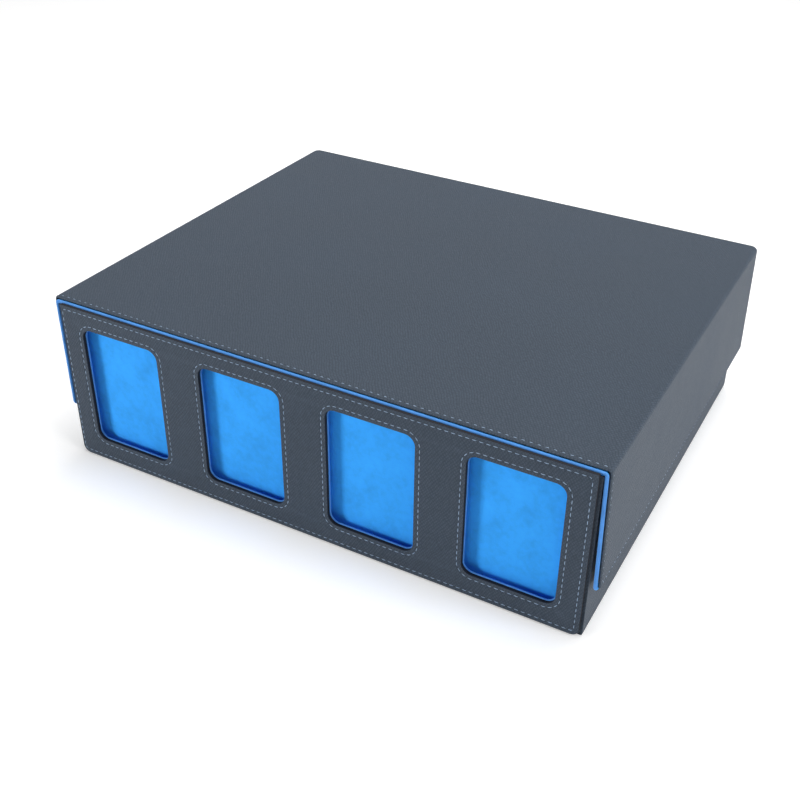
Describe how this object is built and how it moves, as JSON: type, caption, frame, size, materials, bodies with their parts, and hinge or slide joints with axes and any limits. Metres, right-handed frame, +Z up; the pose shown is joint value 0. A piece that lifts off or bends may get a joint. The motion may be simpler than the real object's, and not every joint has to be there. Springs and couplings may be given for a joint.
{
  "type": "card storage box",
  "caption": "Shallow lidded box for rows of trading cards, in blue-lined leather cloth over board, with a stitched front panel of open display windows and a lift-off cover.",
  "frame": {"origin": "on the ground under the middle of the closed box", "axes": "+X to the right along the windowed front, +Y from the front to the rear, +Z up"},
  "size_m": [0.393, 0.325, 0.1215],
  "materials": {
    "leather_cloth": "fine cross-grained, satin",
    "microfibre": "short soft nap",
    "greyboard": "raw"
  },
  "bodies": {
    "base": {"base_outer_skin": "leather_cloth", "base_bottom_sheet": "leather_cloth", "floor_board": "greyboard", "left_wall_board": "greyboard", "right_wall_board": "greyboard", "rear_wall_board": "greyboard", "front_wall_board": "greyboard", "base_lining": "microfibre", "partition_1_board": "greyboard", "partition_1_cover": "microfibre", "partition_2_board": "greyboard", "partition_2_cover": "microfibre", "partition_3_board": "greyboard", "partition_3_cover": "microfibre", "display_panel_face": "leather_cloth", "display_panel_board": "greyboard", "display_panel_backing": "microfibre", "display_backdrop": "microfibre", "pocket_sill": "microfibre", "pocket_spacer_1": "microfibre", "pocket_spacer_2": "microfibre", "pocket_spacer_3": "microfibre", "pocket_spacer_4": "microfibre", "pocket_spacer_5": "microfibre"},
    "lid": {"lid_outer_skin": "leather_cloth", "lid_top_board": "greyboard", "lid_left_board": "greyboard", "lid_right_board": "greyboard", "lid_rear_board": "greyboard", "lid_lining": "microfibre"}
  },
  "joints": [
    {"name": "lid_lift", "type": "slide", "parent": "base", "child": "lid", "axis": [0, 0, 1], "range_m": [0, 0.1]}
  ]
}
